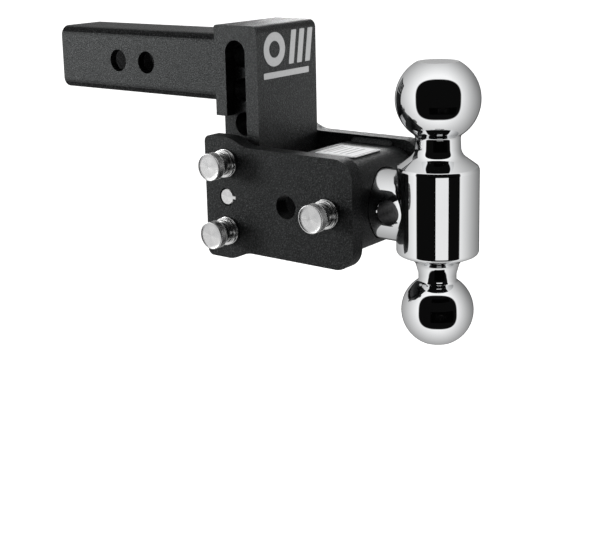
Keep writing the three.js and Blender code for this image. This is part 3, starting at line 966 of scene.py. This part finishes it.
for side_name, side in (("left", -1), ("right", 1)):
    for level_name, level in (("top", 1), ("bottom", -1)):
        node = f"housing_weld_{side_name}_{level_name}"
        low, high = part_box(node)
        root_y = low.y if side < 0 else high.y
        root_z = low.z if level > 0 else high.z
        leg = 3.6 * MM
        stops = []
        for k in range(121):
            x = low.x + (high.x - low.x) * k / 120
            from_end = min(x - low.x, high.x - x)
            full = min(1.0, 0.35 + 0.65 * math.sqrt(from_end / (3 * MM)))
            stops.append((Vector((x, root_y, root_z)), Vector((0, -side * leg * full, 0)),
                          Vector((0, 0, level * leg * full))))
        small_bead = lay_bead(node + "_finished", stops, 2.2 * MM, 0.3 * MM, False)
        hand_over(small_bead, "frame", black, "black_powder_coat", node)
print("housing, liner and four housing welds made")

# %% [markdown]
# ## The dual ball
#
# The balls, necks, barrel and shaft are one forging. It is turned, drilled,
# polished and then chromed. Mirror finishes show every kink in a curve, so the
# profile uses true arcs that meet without a corner, and many segments. The
# shaft runs into the barrel through a fillet that a ball-nose cutter leaves.

# %% The turned profile
def ball_arc(centre_z, radius, start, end, steps):
    """Points on a ball, from one angle off straight up to another."""
    angles = [start + (end - start) * k / steps for k in range(steps + 1)]
    return [Vector((radius * math.sin(a), centre_z + radius * math.cos(a))) for a in angles]


def neck_fillet(ball_z, ball_r, neck_r, fillet, side, steps=12):
    """The hollow between a ball and its neck: side -1 is under the ball."""
    reach = math.sqrt((ball_r + fillet) ** 2 - (neck_r + fillet) ** 2)
    middle = Vector((neck_r + fillet, ball_z + side * reach))
    on_ball = Vector((0, ball_z)) + (middle - Vector((0, ball_z))) * ball_r / (ball_r + fillet)
    start = math.atan2(on_ball.y - middle.y, on_ball.x - middle.x) % (2 * math.pi)
    angles = [start + (math.pi - start) * k / steps for k in range(steps + 1)]
    points = [middle + Vector((math.cos(a), math.sin(a))) * fillet for a in angles]
    meeting = math.atan2(on_ball.x, on_ball.y - ball_z)
    return points, meeting


BIG_R, SMALL_R, BARREL_R = 29.35 * MM, 25.4 * MM, 28.7 * MM
BIG_FLAT, SMALL_FLAT = 14.2 * MM, 11.5 * MM
big_z = ball_high.z - math.sqrt(BIG_R ** 2 - BIG_FLAT ** 2)
small_z = ball_low.z + math.sqrt(SMALL_R ** 2 - SMALL_FLAT ** 2)
barrel_x = ball_high.x - BIG_R
under_big, big_meet = neck_fillet(big_z, BIG_R, 15.7 * MM, 3 * MM, -1)
over_small, small_meet = neck_fillet(small_z, SMALL_R, 13.3 * MM, 2.5 * MM, 1)
flat_edge = 0.9 * MM
profile = [Vector((0, ball_high.z)), Vector((BIG_FLAT * 0.5, ball_high.z))]
big_start = math.asin(BIG_FLAT / BIG_R)
rim = [Vector((BIG_FLAT * 0.5, ball_high.z)), Vector((BIG_FLAT, ball_high.z)),
       Vector((BIG_R * math.sin(big_start + 0.08), big_z + BIG_R * math.cos(big_start + 0.08)))]
profile += soften(rim, flat_edge, 8, closed=False)[1:]
profile += ball_arc(big_z, BIG_R, big_start + 0.09, big_meet, 64)[:-1]
profile += under_big
waist = [(15.7, 49.6), (16.1, 40.2), (27.9, 31.5), (28.7, 29.6),
         (28.7, 0), (28.7, -29.8), (16.0, -35.1), (13.3, -45)]
waist = [Vector((r * MM, MOUNT_Z + z * MM)) for r, z in waist]
profile += soften(waist, [0, 13 * MM, 1.8 * MM, 2.5 * MM, 0, 3.2 * MM, 8 * MM, 0], 16, closed=False)
profile += list(reversed(over_small))
profile += ball_arc(small_z, SMALL_R, small_meet, math.pi - math.asin(SMALL_FLAT / SMALL_R) - 0.09, 60)[1:]
small_end = math.pi - math.asin(SMALL_FLAT / SMALL_R) - 0.08
rim = [Vector((SMALL_R * math.sin(small_end), small_z + SMALL_R * math.cos(small_end))),
       Vector((SMALL_FLAT, ball_low.z)), Vector((SMALL_FLAT * 0.5, ball_low.z))]
profile += soften(rim, flat_edge, 8, closed=False)
profile += [Vector((0, ball_low.z))]
print(len(profile), "points; big ball", round(BIG_R * 2000, 1), "mm,",
      "small ball", round(SMALL_R * 2000, 1), "mm")

# %% The fillet between the shaft and the barrel
SHAFT_R = 25.4 * MM
FILLET_R = 3 * MM
ROUND = 176


def rolling_fillet():
    """The ring that a ball of FILLET_R leaves, rolled where two cylinders meet."""
    shape = bmesh.new()
    bands = []
    for k in range(ROUND):
        angle = 2 * math.pi * (k + 0.5) / ROUND
        y, z = (SHAFT_R + FILLET_R) * math.sin(angle), (SHAFT_R + FILLET_R) * math.cos(angle)
        x = barrel_x - math.sqrt((BARREL_R + FILLET_R) ** 2 - y * y)
        centre = Vector((x, y, MOUNT_Z + z))
        to_shaft = (Vector((x, 0, MOUNT_Z)) - centre).normalized()
        to_barrel = (Vector((barrel_x, 0, MOUNT_Z + z)) - centre).normalized()
        arc_points = [centre + to_shaft.slerp(to_barrel, j / 8) * FILLET_R for j in range(9)]
        sunk_shaft = arc_points[0] + to_shaft * 0.5 * MM
        sunk_barrel = arc_points[-1] + to_barrel * 0.5 * MM
        core = (sunk_shaft + sunk_barrel) / 2 + (to_shaft + to_barrel) * 0.9 * MM
        bands.append([shape.verts.new(p) for p in [sunk_shaft, *arc_points, sunk_barrel, core]])
    for here, there in zip(bands, bands[1:] + bands[:1]):
        for j in range(len(here)):
            n = (j + 1) % len(here)
            shape.faces.new((here[j], here[n], there[n], there[j]))
    bmesh.ops.recalc_face_normals(shape, faces=shape.faces)
    return shape


print(f"fillet radius {FILLET_R * 1000:.0f} mm")

# %% The forging
dual = loose("dual_ball_finished", turn([(p.x, p.y) for p in profile], "z", (barrel_x, 0, 0), ROUND))
shaft_x = ball_low.x
shaft_profile = [(0, shaft_x), (SHAFT_R - 1.2 * MM, shaft_x), (SHAFT_R - 0.35 * MM, shaft_x + 0.35 * MM),
                 (SHAFT_R, shaft_x + 1.2 * MM), (SHAFT_R, barrel_x - 6 * MM), (0, barrel_x - 6 * MM)]
combine(dual, [turn(shaft_profile, "x", (0, 0, MOUNT_Z), ROUND), rolling_fillet()], "UNION")


def drilled(x):
    """A cross hole with a light countersink at both ends."""
    y = SHAFT_R - 0.45 * MM
    flare = 3 * MM
    hole = [(0, -y - flare), (PIN_HOLE_R + flare, -y - flare), (PIN_HOLE_R, -y), (PIN_HOLE_R, y),
            (PIN_HOLE_R + flare, y + flare), (0, y + flare)]
    return turn(hole, "y", (x, 0, MOUNT_Z), 96)


hole_places = (BALL_PIN.x, BALL_PIN.x + 34.3 * MM)
combine(dual, [drilled(x) for x in hole_places])
for face in dual.data.polygons:
    near_axis = min(math.hypot(face.center.x - x, face.center.z - MOUNT_Z) for x in hole_places)
    face.material_index = 1 if near_axis < PIN_HOLE_R + 0.02 * MM and abs(face.center.y) < SHAFT_R else 0
hand_over(dual, "frame", chrome, "chrome_plate", "dual_ball", sharp=32)
drill_wall = plain_metal("drilled_wall", (0.10, 0.10, 0.10), (0.62, 0.62, 0.63), 0.22, 420)
dual.data.materials.append(drill_wall)


def faced_end():
    """The flat that a facing cut leaves: rings, and a satin plate over them."""
    flat = Finish("faced_end", Metallic=0.3)
    x, y, _ = flat.axes()
    dx = x - barrel_x
    rings = ((dx * dx + y * y).root() * 9000.0).sine()
    mottle = flat.grain(1100, 2, 0.6)
    tone = flat.mix(mottle, (0.62, 0.625, 0.63, 1), (0.95, 0.95, 0.95, 1))
    return flat.wear(Base_Color=tone, Roughness=0.42 + 0.15 * mottle, Normal=flat.bump(rings, 0.00001, 0.4))


dual.data.materials.append(faced_end())
for face in dual.data.polygons:
    from_end = min(ball_high.z - face.center.z, face.center.z - ball_low.z)
    if abs(face.normal.z) > 0.999 and from_end < 0.01 * MM:
        face.material_index = 2
print("forging:", len(dual.data.polygons), "faces")

# %% [markdown]
# ## Pins, collars and knobs
#
# Each pin is a turned rod. A collar with two rims stops it at the plate, and a
# pressed-on knob gives the fingers a grip. Its face is dished inside a bright
# lip, and its rim is knurled: two sets of V grooves that cross, rolled in by
# toothed wheels. Here every point of the rim sinks by how near it is to a
# groove of either set.

# %% The knurled knob
TEETH = 52
TOOTH = 2 * math.pi * KNOB_R / TEETH


def saw(value):
    """From 0 at a groove to 1 at a crest, once for each whole number."""
    return 1 - 2 * abs(value - math.floor(value) - 0.5)


def pressed_knob(node, centre):
    low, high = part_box(node)
    face, back = low.y, high.y
    rim0, rim1 = face + 0.95 * MM, back - 0.75 * MM
    rows = 36
    bare = [(0, 0.19), (0.5, 0.185), (0.95, 0.15), (4.0, 0.14), (7.0, 0.14), (8.9, 0.14), (9.1, 0.06),
            (9.25, 0), (9.8, 0), (9.97, 0.09), (10.05, 0.26), (10.05, 0.85)]
    shape_profile = [(r * MM, face + depth * MM) for r, depth in bare]
    shape_profile += [(KNOB_R, rim0 + (rim1 - rim0) * k / rows) for k in range(rows + 1)]
    shape_profile += [(KNOB_R - 0.25 * MM, back - 0.4 * MM), (KNOB_R - 0.8 * MM, back), (8.25 * MM, back),
                      (8.25 * MM, face + 2.2 * MM), (0, face + 2.2 * MM)]
    shape = turn(shape_profile, "y", (centre.x, 0, centre.z), TEETH * 6)
    for vert in shape.verts:
        dx, dz = vert.co.x - centre.x, vert.co.z - centre.z
        radius = math.hypot(dx, dz)
        if abs(radius - KNOB_R) > 1e-7:
            continue
        around = math.atan2(dz, dx) / (2 * math.pi) * TEETH
        along = vert.co.y / TOOTH
        crest = min(saw(around + along), saw(around - along))
        room = min(1.0, (vert.co.y - rim0) / (0.3 * MM) + 0.1, (rim1 - vert.co.y) / (0.3 * MM) + 0.1)
        sunk = 1 - 0.42 * MM * (1 - min(1, crest * 1.3)) * room / radius
        vert.co.x, vert.co.z = centre.x + dx * sunk, centre.z + dz * sunk
    return loose(node + "_finished", shape)


print(f"knurl pitch {TOOTH * 1000:.2f} mm")

# %% One whole pin
def ring_profile(levels):
    return [(r * MM, y) for r, y in levels]


def collar_for(node, centre):
    low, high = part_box(node)
    base = high.y
    bore = 8.3
    levels = [(bore, base), (10.3, base), (10.6, base - 0.25 * MM), (10.6, base - 1.2 * MM),
              (10.35, base - 1.6 * MM), (9.6, base - 1.8 * MM), (9.5, base - 2.2 * MM),
              (9.7, base - 2.6 * MM), (10.15, base - 2.75 * MM),
              (10.3, base - 3.0 * MM), (10.3, base - 3.9 * MM), (10.0, base - 4.25 * MM), (9.6, low.y),
              (bore, low.y), (bore, base)]
    return loose(node + "_finished", turn(ring_profile(levels), "y", (centre.x, 0, centre.z), 96))


def rod_for(node, centre):
    low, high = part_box(node)
    r = 7.95
    levels = [(0, low.y), (r, low.y), (r, high.y - 2.6 * MM), (r - 0.12, high.y - 2.2 * MM),
              (r - 1.75, high.y - 0.25 * MM), (r - 2.1, high.y), (0, high.y)]
    rod = loose(node + "_finished", turn(ring_profile(levels), "y", (centre.x, 0, centre.z), 96))
    detent_low, detent_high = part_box(node.replace("rod", "detent_ball"))
    bore_y = (detent_low.y + detent_high.y) / 2
    bore_start, bore_end = centre.z + 0.8 * MM, centre.z + 12 * MM
    combine(rod, [rod_cutter(2.8 * MM, "z", (centre.x, bore_y, 0), bore_start, bore_end, 40)])
    return rod


def detent_for(node):
    low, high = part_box(node)
    middle = (low + high) / 2
    radius = 2.5 * MM
    angles = [math.pi * k / 20 for k in range(21)]
    half_turn = [(radius * math.sin(a), radius * math.cos(a)) for a in angles]
    half_turn[0], half_turn[-1] = (0, radius), (0, -radius)
    return loose(node + "_finished", turn(half_turn, "z", middle, 40))


for pin, centre in (("upper_pin", UPPER_PIN), ("lower_pin", LOWER_PIN), ("ball_pin", BALL_PIN)):
    finish = pin_finish[pin]
    hand_over(pressed_knob(pin + "_knob", centre), pin, finish, "zinc_plate", pin + "_knob", sharp=38)
    hand_over(collar_for(pin + "_collar", centre), pin, finish, "zinc_plate", pin + "_collar", sharp=40)
    hand_over(rod_for(pin + "_rod", centre), pin, finish, "plain_steel", pin + "_rod", sharp=25)
    detent = pin + "_detent_ball"
    hand_over(detent_for(detent), pin + "_ball", steel_wire, "plain_steel", detent)
print("three pins made")

# %% [markdown]
# ## The sprung catch
#
# Between the post pins a sprung plunger is pressed from inside, so its end
# sits flush in the left plate. A key beside it stops it turning. Its end is
# turned, its key is milled, and the two are joined into one piece.

# %% The catch's plunger
plunger_low, plunger_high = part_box("catch_plunger")
outer, inner = plunger_low.y, plate_high.y
nose = plunger_high.y
levels = [(0, outer), (5.5, outer), (6.0, outer + 0.5 * MM), (6.0, inner - 3 * MM), (9.0, inner - 3 * MM),
          (9.0, inner - 1.2 * MM), (7.4, inner - 1.2 * MM), (7.4, nose - 1.6 * MM), (6.0, nose), (0, nose)]
plunger = loose("catch_plunger_finished", turn(ring_profile(levels), "y", (catch_x, 0, catch_z), 96))
KEY_REACH, KEY_HALF, KEY_DEEP = 8.1 * MM, 1.1 * MM, 2.4 * MM
key = block(catch_x, catch_x + KEY_REACH, outer, outer + KEY_DEEP, catch_z - KEY_HALF, catch_z + KEY_HALF)
combine(plunger, [key], "UNION")
hand_over(plunger, "catch", pin_finish["catch"], "zinc_plate", "catch_plunger", sharp=30)
print("catch plunger reaches", round((nose - outer) * 1000, 1), "mm")

# %% [markdown]
# ## The label and the mark on the post
#
# The label is printed foil stuck to the housing. Its print here is plain: a
# border and blank rules. The post's rear face carries a screen-printed mark,
# and a neutral sign of a ring, three slants and a rule stands in for it.

# %% The foil label
label_low, label_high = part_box("label_plate")
label_middle = (label_low + label_high) / 2
label_half = (label_high.x - label_low.x) / 2


def label_foil():
    foil = Finish("label_foil", IOR=1.5)
    x, y, z = foil.axes()
    u, v = (x - label_middle.x) * (1 / label_half), (y - label_middle.y) * (1 / label_half)
    across, up_label = abs(u), abs(v)
    border = (across > 0.86) + (up_label > 0.86)
    border = border.ramp(0, 1) * (across < 0.93) * (up_label < 0.93)
    rule_wave = (u * 21.0).sine()
    rules = (rule_wave > 0.25) * (across < 0.62) * (up_label < 0.7) * 0.75
    header = (u < -0.66) * (u > -0.8) * (up_label < 0.74)
    print_mask = (border + rules + header).ramp(0, 1)
    wear = foil.grain(120, 4, 0.6)
    film = foil.mix(wear, (0.60, 0.605, 0.61, 1), (0.92, 0.925, 0.93, 1))
    tone = foil.mix(print_mask * 0.85, film, (0.22, 0.225, 0.23, 1))
    crease = foil.grain(420, 2, 0.5)
    return foil.wear(Base_Color=tone, Roughness=0.46 + 0.15 * wear, Metallic=0.22 - 0.20 * print_mask,
                     Normal=foil.bump(crease, 0.00006, 0.3))


foil_finish = label_foil()
label_corners = [(label_low.x, label_low.y), (label_high.x, label_low.y),
                 (label_high.x, label_high.y), (label_low.x, label_high.y)]
label_outline = soften(label_corners, 1.6 * MM, 8)
label = loose("label_plate_finished", thicken(label_outline, "z", label_low.z, label_high.z))
round_edges(label, 0.2 * MM, 2)
hand_over(label, "frame", foil_finish, "label_silver", "label_plate")
print("label", round(label_half * 2000, 1), "mm square")

# %% The printed mark
def printed_ink():
    ink = Finish("printed_ink", Metallic=0.75)
    speck = ink.grain(700, 3, 0.6)
    tone = ink.mix(speck, (0.30, 0.303, 0.306, 1), (0.46, 0.463, 0.466, 1))
    return ink.wear(Base_Color=tone, Roughness=0.36 + 0.16 * speck, Normal=ink.bump(speck, 0.00004, 0.3))


mark_finish = printed_ink()
mark_x = post_high.x
mark_z = SHANK_Z + 8.5 * MM


def print_shape(name, outline):
    """A film of ink on the post's rear face; the outline is in (Y, Z)."""
    shape = loose(name, thicken(outline, "x", mark_x - 0.02 * MM, mark_x + 0.06 * MM))
    shape.data.materials.append(mark_finish)
    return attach(shape, "frame")


def bar(y0, y1, z0, z1, lean=0.0):
    corners = [(y0, z0), (y1, z0), (y1 + lean, z1), (y0 + lean, z1)]
    return soften([(y * MM, mark_z + z * MM) for y, z in corners], 0.7 * MM, 5)


def disc(y, z, radius):
    return arc((y * MM, mark_z + z * MM), radius * MM, 0, 360, 64)[:-1]


ring = print_shape("mark_ring", disc(-15, 6.5, 12.5))
combine(ring, [thicken(disc(-15, 6.5, 6.2), "x", mark_x - EXTRA, mark_x + EXTRA)])
for i in range(3):
    print_shape(f"mark_slant_{i + 1}", bar(1.5 + 10 * i, 7.5 + 10 * i, -6, 19, 4))
print_shape("mark_bar", bar(-28, 26, -14.5, -10))
print("printed mark laid")

# %% [markdown]
# ## Keep the boxes out of the mirror
#
# The coated steel needs the soft boxes, but each would print a hard patch on
# the chrome, whose light comes from the tent alone. A light's receivers are
# named as a collection, and the forging is left out of it. One small box lifts
# only the shank and the post, so that the plates in front stay darker.

# %% What the boxes light
def light_only(name, lamps, pieces):
    group = bpy.data.collections.new(name)
    for piece in pieces:
        group.objects.link(piece)
    for lamp in lamps:
        lamp.light_linking.receiver_collection = group
    return len(group.objects)


meshes = [piece for piece in bpy.context.scene.objects if piece.type == "MESH" and piece is not dual]
coated = [piece for piece in meshes if piece.data.materials and piece.data.materials[0] is black]
bare = [piece for piece in meshes if piece not in coated]
coated.append(label)
print("coat boxes light", light_only("coated", (back_strip, left_box, right_box), coated), "pieces")
print("shank box lights", light_only("high_steel", (shank_box,), (tube, bead, post)), "pieces")
print("metal boxes light", light_only("bare", (pin_left, pin_right), bare), "pieces")

# %% Sizes
print("CAD box", [round(v * 1000, 2) for v in cad_high - cad_low], "mm")
